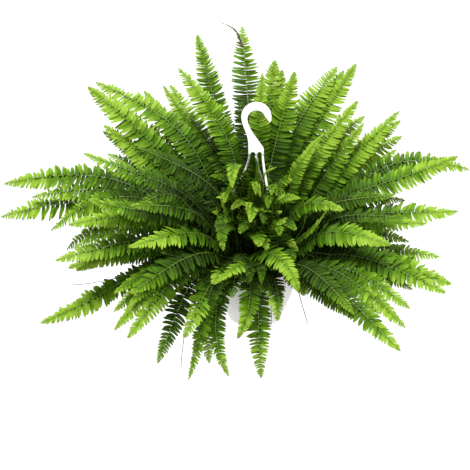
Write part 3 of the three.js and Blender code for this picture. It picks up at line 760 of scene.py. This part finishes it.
def leaflet_length(half, done, left):
    """Length of the leaflets, with so much of the leafy rib behind and so much left to the tip."""
    opening = min(1, FIRST_LEAFLET + (1 - FIRST_LEAFLET) * done / (done + left) / OPENING_SHARE)
    taper = min(1, left / min(TAPER_LENGTH, TAPER_SHARE * (done + left)))
    return FULLNESS * half * opening * taper**TAPER_POWER


def add_leaflet(form, shape, matrix, brightness):
    """Adds a leaflet in its place, and gives it its brightness: how young it is, with painted shade."""
    youth_and_shade_layer = form.verts.layers.float["youth_and_shade"]
    first = len(form.verts)
    form.from_mesh(shape)
    form.verts.ensure_lookup_table()
    made = form.verts[first:]
    bmesh.ops.transform(form, verts=made, matrix=matrix)
    for vertex in made:
        vertex[youth_and_shade_layer] = min(1, max(0, brightness))


def frond(
    draw, root, azimuth, reach, height, rise, fall, sway, twist, half, bare, youth_and_shade, leaflets=FINE_LEAFLETS
):
    """One frond with its rib and its two rows of leaflets, as a mesh."""
    form = leafy_form()
    line = frond_line(reach, height, rise, fall, sway)
    length = line[1][-1]
    size = half / USUAL_HALF_WIDTH
    steep = min(1, max(0, (rise - STEEP_FROM) / (STEEP_TO - STEEP_FROM)))
    # young fronds and steep ones hold their leaflets closer
    spacing = LEAFLET_SPACING * size * (1.02 - 0.26 * youth_and_shade) * (1.14 - 0.34 * steep)
    spacing *= draw.uniform(0.92, 1.06)
    broad = LEAFLET_WIDTH * size * (1.16 - 0.32 * steep)
    broad *= draw.uniform(0.92, 1.06)
    place = Matrix.Translation(root) @ turn_by(azimuth)
    stalk, tip = STALK_THICKNESS * max(SLIMMEST[0], size), RIB_TIP_THICKNESS * max(SLIMMEST[1], size)
    rib(form, line, stalk, tip, STALK_DEPTH, place)
    for hand in (1, -1):
        distance = bare + draw.uniform(0, 0.5) * spacing
        while distance < length - 1:
            share = (distance - bare) / (length - bare)
            reach_out = max(SHORTEST_LEAFLET, leaflet_length(half, distance - bare, length - distance))
            reach_out *= draw.uniform(0.94, 1.04)
            fullness = min(1, reach_out / half)
            width = broad * (0.35 + 0.65 * fullness) * draw.uniform(0.92, 1.08)
            sweep = LEAFLET_SWEEP + TIP_SWEEP * share**3 + draw.uniform(-6, 6)
            droop = LEAFLET_DROOP + draw.uniform(-12, 12)
            roll = draw.uniform(-22, 14)
            spot = frame_at(line, distance, blade_turn(azimuth, twist, distance / length))
            turn = turn_by(hand * (90 - sweep)) @ turn_by(droop, "Y") @ turn_by(-hand * roll, "X")
            turn = turn @ Matrix.Diagonal((reach_out, width, width / FULL_RELIEF, 1))
            # painted shade: deep green towards the crown, where its shade falls, bright where the frond still
            # grows
            brightness = youth_and_shade * (0.4 + 0.6 * share) - 0.24 * (1 - share) ** 2 + 0.62 * share**2.3
            brightness += draw.uniform(-0.12, 0.12)
            shape = leaflets[-hand][draw.randrange(LEAFLET_SHAPES)]
            add_leaflet(form, shape, place @ spot @ turn, brightness)
            distance += spacing * (0.4 + 0.6 * fullness) * draw.uniform(0.93, 1.07)
    return kept_mesh("frond", form)


def frond_piece(name, fronds):
    """Fronds that are shown as one piece."""
    form = bmesh.new()
    for mesh in fronds:
        form.from_mesh(mesh)
    piece = to_object(name, form, [LEAFLET_GREEN, RIB_GREEN])
    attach(piece, "root")
    return piece


def root_of(azimuth, rise):
    """Where a frond's root stands on the soil: the more upright it is, the nearer to the middle."""
    radius = CROWN_RADIUS * math.cos(math.radians(rise)) ** CROWN_POWER
    return turn_by(azimuth) @ Vector((radius, 0, SOIL_TOP))


for node in range(1, FRONDS[-1][0] + 1):
    rows = [row for row in FRONDS if row[0] == node]
    root = root_of(rows[0][1], rows[0][4])
    fronds = []
    for i, (_, *shape) in enumerate(rows):
        fronds.append(frond(random.Random(SEEDS_PER_NODE * node + i), root, *shape))
    piece = frond_piece(f"fern_frond_{node:02d}", fronds)
    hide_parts(f"frond_{node:02d}")

# The inner fronds: shorter ones that fill the crown between the long fronds, so that neither the soil nor
# the stalks show. Their darker green is painted shade of the crown. They stand in the soil as the long ones
# do.
INNER_SEED = 4000
INNER_STALK = 25
INNER_SWAY = 10
INNER_TWIST = 14
# For each side: how many, then the ranges of azimuth, reach, height, first and last slope, half width
# and how young they are, kept low as painted shade, that they are drawn from.
INNER_FRONDS = {
    "left": (18, (142, 216), (140, 265), (10, 170), (44, 68), (-30, 15), (20, 25), (0.0, 0.45)),
    "right": (18, (-32, 46), (140, 250), (10, 170), (44, 68), (-30, 15), (20, 25), (0.0, 0.45)),
    "front": (13, (-154, -116), (70, 155), (-50, 50), (50, 74), (-72, -30), (17, 23), (-0.1, 0.15)),
    "back": (20, (50, 136), (130, 240), (20, 220), (52, 76), (-20, 30), (20, 25), (0.0, 0.4)),
    "middle": (22, (0, 360), (35, 100), (90, 165), (74, 85), (-40, 40), (15, 21), (0.15, 0.55)),
    "front_right": (15, (-116, -72), (70, 118), (-12, 45), (50, 74), (-72, -30), (16, 21), (-0.1, 0.15)),
}
for number, (side, (count, azimuths, *ranges)) in enumerate(INNER_FRONDS.items()):
    draw = random.Random(INNER_SEED + number)
    fronds = []
    for i in range(count):
        azimuth = azimuths[0] + (azimuths[1] - azimuths[0]) * (i + draw.random()) / count
        reach, height, rise, fall, half, youth_and_shade = [draw.uniform(*span) for span in ranges]
        root = root_of(azimuth, rise)
        sway = draw.uniform(-INNER_SWAY, INNER_SWAY)
        twist = draw.uniform(-INNER_TWIST, INNER_TWIST)
        shape = (azimuth, reach, height, rise, fall, sway, twist, half, INNER_STALK, youth_and_shade)
        fronds.append(frond(draw, root, *shape, leaflets=PLAIN_LEAFLETS))
    frond_piece(f"inner_fronds_{side}", fronds)

# The gap fronds: half-grown ones that have found the light in the gaps of the outer fan. The rows have
# the same values as those of the long fronds above, without a node.
GAP_SEEDS = {"left": 5000, "right": 5100}
GAP_FRONDS = {
    "left": [
        (135, 231, 304, 70, 42, 0, 8, 20, 40, 0.65),
        (155, 262, 290, 60, 40, 0, 0, 25, 40, 0.45),
        (-170, 300, 62, 46, -26, 0, 0, 25, 40, 0.45),
        (-162, 299, 37, 38, -22, 0, 0, 24, 40, 0.6),
        (158, 248, 279, 60, 42, 0, -8, 24, 40, 0.6),
        (165, 262, 257, 56, 36, 0, 0, 29, 40, 0.75),
        (-154, 243, 1, 40, -26, 0, 8, 24, 40, 0.35),
        (-147, 229, -10, 42, -34, 0, 0, 24, 40, 0.4),
    ],
    "right": [
        (30, 167, 224, 60, 44, 0, 8, 24, 40, 0.5),
        (22, 185, 259, 56, 50, 0, -8, 25, 40, 0.6),
        (20, 103, 249, 66, 46, 0, 8, 18, 60, 0.9),
        (2, 239, 129, 44, -6, 0, 0, 23, 40, 0.55),
        (-14, 211, 113, 44, 0, 0, 8, 24, 40, 0.5),
        (-34, 226, -29, 45, -34, 0, 0, 22, 40, 0.45),
        (-27, 268, 18, 36, -16, 0, 0, 24, 40, 0.55),
        (-46, 205, -20, 38, -30, -50, 24, 20, 40, 0.6),
        (80, 55, 364, 82, 66, 0, 0, 22, 60, 0.7),
        (100, 168, 277, 84, 48, 0, 0, 27, 60, 0.1),
    ],
}
for side, rows in GAP_FRONDS.items():
    fronds = []
    for i, row in enumerate(rows):
        fronds.append(frond(random.Random(GAP_SEEDS[side] + i), root_of(row[0], row[3]), *row))
    frond_piece(f"gap_fronds_{side}", fronds)

# The youngest fronds: short ones in the middle of the crown, yellow-green when they have just uncurled
# and deeper green as they harden.
# Each row has its root on the soil, and then the same values as a gap frond's.
YOUNG_SEED = 7000
YOUNG_FRONDS = [
    ((-10, -20), -66, 44, 165, 88, -60, 0, 0, 13, 60, 0.95),
    ((-5, -30), -103, 51, 137, 86, -75, 0, 0, 15, 50, 0.9),
    ((-20, -50), -16, 71, 141, 62, 25, 0, 20, 14, 50, 0.7),
    ((0, -60), -33, 65, 130, 70, 10, 0, 20, 15, 50, 0.5),
    ((-30, -40), -55, 182, 35, 68, -66, 0, 0, 25, 45, 0.9),
    ((26, -76), -138, 132, 42, 58, -25, 0, 30, 19, 30, 0.9),
    ((-25, -35), -167, 43, 158, 86, 70, 0, 0, 10, 60, 1.0),
    ((-20, -30), -114, 33, 146, 86, 40, 0, 0, 10, 60, 0.9),
    ((0, 0), -68, 11, 223, 88, 80, 0, 0, 8, 90, 0.9),
    ((10, -45), -38, 8, 212, 88, 80, 0, 0, 8, 70, 0.95),
    ((15, -50), -28, 43, 173, 84, 30, 0, 0, 14, 60, 0.6),
    ((40, -30), -33, 109, 157, 66, 60, 8, 0, 12, 60, 0.95),
    ((0, -30), -87, 90, 93, 76, -30, 0, 0, 24, 45, 0.4),
    ((28, -62), -92, 42, 188, 88, -25, 0, 0, 18, 40, 0.3),
    ((44, -66), -60, 50, 120, 84, -40, 0, 0, 19, 40, 0.1),
    ((46, -58), -70, 66, 62, 76, -50, 0, 0, 19, 30, 0.2),
    ((40, -76), -86, 34, 110, 86, -60, 0, 0, 21, 20, 0.3),
    ((-62, -22), -112, 30, 128, 86, -40, 0, 0, 16, 30, 0.4),
    ((22, -48), -50, 22, 226, 88, 20, 0, 0, 13, 60, 0.7),
    ((-52, -28), -100, 42, 158, 88, -45, 0, 0, 17, 40, 0.35),
    ((-26, -34), -150, 34, 168, 88, -56, 0, 0, 21, 40, 0.2),
    ((-44, -30), -140, 24, 146, 88, -50, 0, 0, 19, 40, 0.3),
    ((-8, -40), -80, 40, 178, 86, -60, 0, 0, 15, 50, 0.45),
    ((36, -60), -112, 44, 160, 88, -75, 0, 0, 20, 40, 0.3),
    ((24, -56), -60, 26, 176, 88, -64, 0, 0, 19, 40, 0.35),
    ((4, -56), -121, 69, 117, 82, -40, 0, 10, 25, 30, 0.1),
    ((-30, -50), -135, 64, 120, 82, -40, 0, -10, 22, 30, 0.15),
    ((20, -50), -99, 51, 130, 84, -50, 0, 0, 22, 30, 0.0),
    ((-10, -40), -132, 54, 149, 84, -30, 0, 0, 20, 40, 0.6),
    ((-50, -26), 34, 22, 187, 88, 40, 0, 0, 15, 60, 0.25),
    ((26, -58), -110, 16, 208, 88, 30, 0, 0, 12, 60, 0.5),
    ((-30, -50), -98, 106, 5, 62, -56, 0, 0, 20, 30, 0.15),
]
fronds = []
for i, ((x, y), *shape) in enumerate(YOUNG_FRONDS):
    fronds.append(frond(random.Random(YOUNG_SEED + i), Vector((x, y, SOIL_TOP)), *shape))
frond_piece("young_fronds", fronds)

# The croziers: the newest fronds, still rolled up like watch springs on thin stalks in the middle of the
# crown. Each row is a crozier's root on the soil, azimuth and lean, its height and its coil's radius.
CROZIER_SEED = 8000
CROZIER_THICKNESS = (2.2, 1.0)  # of the stalk at the soil, and of its end in the coil
CROZIER_POINTS = 24
COIL_TURNS = 1.35
COIL_POINTS = 30
COIL_CLOSES = 0.75  # of its radius
BUD_LENGTHS = (2.6, 3.8)
BUD_SPACING = 3.0
BUDS_FROM = 6  # below the coil, in its radii
BUD_TURNS = (58, -25)  # out from the roll's line, and up
CROZIERS = [
    ((-34, -30), 200, 12, 128, 5.5),
    ((-26, -34), 150, 8, 140, 4.5),
    ((8, -24), 20, 16, 205, 4.5),
    ((24, -30), -30, 24, 168, 4.5),
    ((52, -28), -20, 45, 130, 5.0),
    ((-48, -40), -140, 22, 96, 5.0),
    ((2, -52), -110, 12, 118, 4.0),
    ((-10, 22), 100, 20, 160, 5.0),
    ((30, 20), 50, 24, 172, 4.5),
]


def crozier(draw, root, azimuth, lean, height, radius):
    """A stalk whose end is rolled up, with a row of folded leaf buds along each side of the roll."""
    form = leafy_form()
    bends = [(0, 1), (0, height / 2), (lean, height / 2), (lean, height)]
    points = interpolate_bezier(*[Vector((out, 0, up)) for out, up in bends], CROZIER_POINTS)
    for i in range(1, COIL_POINTS + 1):
        turned_by = 2 * math.pi * COIL_TURNS * i / COIL_POINTS
        curl = radius * (1 - COIL_CLOSES * i / COIL_POINTS)
        out = lean + radius - curl * math.cos(turned_by)
        points.append(Vector((out, 0, height + curl * math.sin(turned_by))))
    line = with_distances(points)
    place = Matrix.Translation(root) @ turn_by(azimuth)
    rib(form, line, *CROZIER_THICKNESS, STALK_DEPTH, place, BUD_SPACING)
    distance = line[1][CROZIER_POINTS] - BUDS_FROM * radius
    while distance < line[1][-1] - 2:
        for hand in (1, -1):
            size = draw.uniform(*BUD_LENGTHS)
            turn = turn_by(hand * BUD_TURNS[0]) @ turn_by(BUD_TURNS[1], "Y")
            turn = turn @ Matrix.Diagonal((size, size * 0.6, 0.5, 1))
            shape = PLAIN_LEAFLETS[-hand][draw.randrange(LEAFLET_SHAPES)]
            add_leaflet(form, shape, place @ frame_at(line, distance, 0) @ turn, draw.uniform(0.8, 1.0))
        distance += BUD_SPACING
    return kept_mesh("crozier", form)


croziers = []
for i, ((x, y), *shape) in enumerate(CROZIERS):
    croziers.append(crozier(random.Random(CROZIER_SEED + i), Vector((x, y, SOIL_TOP)), *shape))
frond_piece("croziers", croziers)

# The runners: leafless wiry stems that creep out of the soil and hang over the rim. In other pots they
# would root. Each row has the azimuth, reach, height, first and last slope, sway and thickness of one.
RUNNER_TAPER = 0.6
RUNNER_STEP = 8  # between two sections of the stem
RUNNERS = [
    (-41, 88, -87, 50, -66, 0, 2.2),
    (-72, 62, -92, 62, -78, 8, 1.6),
    (-134, 153, -149, 40, -80, -8, 2.0),
    (-163, 306, 6, 26, 6, 0, 1.7),
    (120, 150, -60, 50, -60, 0, 1.4),
]


def dry_skin(name, steps, size, harshness, relief, roughness):
    """The skin of a dry stem or leaf, with spots that are so many millimetres wide."""
    material, tree, place, surface = new_material(name)
    spots = add_node(
        tree, "ShaderNodeTexNoise", Vector=place, Scale=grain(size), Detail=4.0, Roughness=harshness
    ).outputs["Fac"]
    tint = add_node(tree, "ShaderNodeValToRGB", Fac=spots)
    colour_steps(tint, steps)
    bump = add_node(tree, "ShaderNodeBump", Height=spots, Strength=0.5, Distance=relief * MM)
    skin = add_node(
        tree,
        "ShaderNodeBsdfPrincipled",
        Base_Color=tint.outputs["Color"],
        Normal=bump.outputs["Normal"],
        Roughness=roughness,
        IOR=1.4,
    )
    tree.links.new(skin.outputs["BSDF"], surface)
    return material


runner_form = bmesh.new()
runner_form.verts.layers.float.new("rib_share")
for azimuth, reach, height, rise, fall, sway, thickness in RUNNERS:
    place = Matrix.Translation(root_of(azimuth, rise)) @ turn_by(azimuth)
    line = frond_line(reach, height, rise, fall, sway)
    rib(runner_form, line, thickness, thickness * RUNNER_TAPER, STALK_DEPTH, place, RUNNER_STEP)
for face in runner_form.faces:
    face.material_index = 0

# Runner stem: dry, brown-green and scaly, with the scales drawn coarse enough to show.
stem_browns = [(0.3, "#2a2519"), (0.55, "#453e28"), (0.75, "#665f3f")]
runner_brown = dry_skin("fern_runner_stem", stem_browns, 3.33, 0.7, 0.2, 0.7)
runners = to_object("runners", runner_form, [runner_brown])
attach(runners, "root")

# The dried tip: the tallest frond forks near its end, and one tip has turned brown and curls to the
# left. It is thin and brittle, with its leaflets shrivelled to scales.
DRIED_SEED = 9000
DRIED_FROM = 46  # below the tallest frond's tip, along its rib
DRIED_SHAPE = (46, 50, 68, 20, 0)  # reach, height, first and last slope, sway
DRIED_THICKNESS = (2.2, 1.1)
DRIED_STEP = 5  # between two sections of the rib
SCALE_LENGTHS = (7, 11)
SCALE_SPACING = 3.6
FIRST_SCALE = 4.0  # from the fork
SCALE_TURNS = (60, 30)  # out from the rib's line, and down
BARE_END = 14

tallest = max(FRONDS, key=lambda row: row[3])
_, azimuth, reach, height, rise, fall, sway, *_ = tallest
carrier = frond_line(reach, height, rise, fall, sway)
carrier_place = Matrix.Translation(root_of(azimuth, rise)) @ turn_by(azimuth)
fork = (carrier_place @ frame_at(carrier, carrier[1][-1] - DRIED_FROM, 0)).translation
place = Matrix.Translation(fork) @ turn_by(180)
dried_form = leafy_form()
line = frond_line(*DRIED_SHAPE)
length = line[1][-1]
rib(dried_form, line, *DRIED_THICKNESS, 0, place, DRIED_STEP)
draw = random.Random(DRIED_SEED)
distance = FIRST_SCALE
while distance < length - BARE_END:
    for hand in (1, -1):
        size = draw.uniform(*SCALE_LENGTHS) * (1 - 0.8 * distance / length)
        turn = turn_by(hand * SCALE_TURNS[0]) @ turn_by(SCALE_TURNS[1], "Y")
        turn = turn @ Matrix.Diagonal((size, size * 0.4, 0.6, 1))
        shape = PLAIN_LEAFLETS[-hand][draw.randrange(LEAFLET_SHAPES)]
        add_leaflet(dried_form, shape, place @ frame_at(line, distance, 0) @ turn, 0)
    distance += SCALE_SPACING
for face in dried_form.faces:
    face.material_index = 0

# Dried frond: matt and grey-brown, with traces of green that has not faded yet.
dried_browns = [(0.3, "#3f4a22"), (0.5, "#5f5534"), (0.7, "#7b6c4a")]
dried_brown = dry_skin("dried_fern_tip", dried_browns, 6.25, 0.6, 0.3, 0.85)
dried_tip = to_object("dried_tip", dried_form, [dried_brown])
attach(dried_tip, "root")

# The stage: a plain white floor under the hanging plant, a strong soft lamp overhead, weaker ones in
# front and behind, faint light from all round, and a camera that looks down from the front.
FLOOR_DROP = 1600  # below the hook's seat
FLOOR_REACH = 30000  # from its middle to each edge
ROOM_LIGHT = 0.2
CAMERA_AIM = Vector((-0.0395, 0, -0.2542))  # in metres in the frame, as the distance is
CAMERA_DISTANCE = 2.153
CAMERA_ELEVATION = math.radians(25)


# Matt paint on the studio's floor: one even white with no edge or shine that draws the eye.
def plain_white(name, code):
    material, tree, place, surface = new_material(name)
    cloud = add_node(tree, "ShaderNodeTexNoise", Vector=place, Scale=grain(333), Detail=2.0)
    rough = add_node(tree, "ShaderNodeMapRange", Value=cloud.outputs["Fac"], To_Min=0.6, To_Max=0.7)
    skin = add_node(
        tree,
        "ShaderNodeBsdfPrincipled",
        Base_Color=colour(code),
        Roughness=rough.outputs["Result"],
        IOR=1.3,
    )
    tree.links.new(skin.outputs["BSDF"], surface)
    return material


floor_form = bmesh.new()
bmesh.ops.create_grid(floor_form, x_segments=1, y_segments=1, size=FLOOR_REACH)
bmesh.ops.translate(floor_form, verts=floor_form.verts, vec=(0, 0, HOOK_SEAT_HEIGHT - FLOOR_DROP))
floor = to_object("studio_floor", floor_form, [plain_white("matt_white_floor", "#b8b8b8")])

world = bpy.data.worlds.new("soft_white_room")
world.use_nodes = True
background = world.node_tree.nodes["Background"]
background.inputs["Color"].default_value = (1, 1, 1, 1)
background.inputs["Strength"].default_value = ROOM_LIGHT
bpy.context.scene.world = world


def soft_lamp(name, azimuth, elevation, strength, softness):
    """A far lamp behind a wide soft screen. Azimuth 0 is in front of the plant, 90 at its right."""
    lamp = bpy.data.lights.new(name, "SUN")
    lamp.energy = strength
    lamp.angle = math.radians(softness)
    holder = bpy.data.objects.new(name, lamp)
    holder.rotation_euler = (math.radians(90 - elevation), 0, math.radians(azimuth))
    bpy.context.scene.collection.objects.link(holder)


soft_lamp("lamp_overhead", -20, 72, 5.6, 22)
soft_lamp("lamp_front", 15, 30, 1.1, 40)
soft_lamp("lamp_behind", 165, 45, 2.6, 40)

camera_data = bpy.data.cameras.new("camera")
camera_data.lens = 85
camera_data.sensor_width = 36
camera = bpy.data.objects.new("camera", camera_data)
toward_viewer = Vector((0, -math.cos(CAMERA_ELEVATION), math.sin(CAMERA_ELEVATION)))
camera.location = CAMERA_AIM + toward_viewer * CAMERA_DISTANCE
camera.rotation_euler = (-toward_viewer).to_track_quat("-Z", "Y").to_euler()
bpy.context.scene.collection.objects.link(camera)
bpy.context.scene.camera = camera
bpy.context.scene.view_settings.view_transform = "Standard"
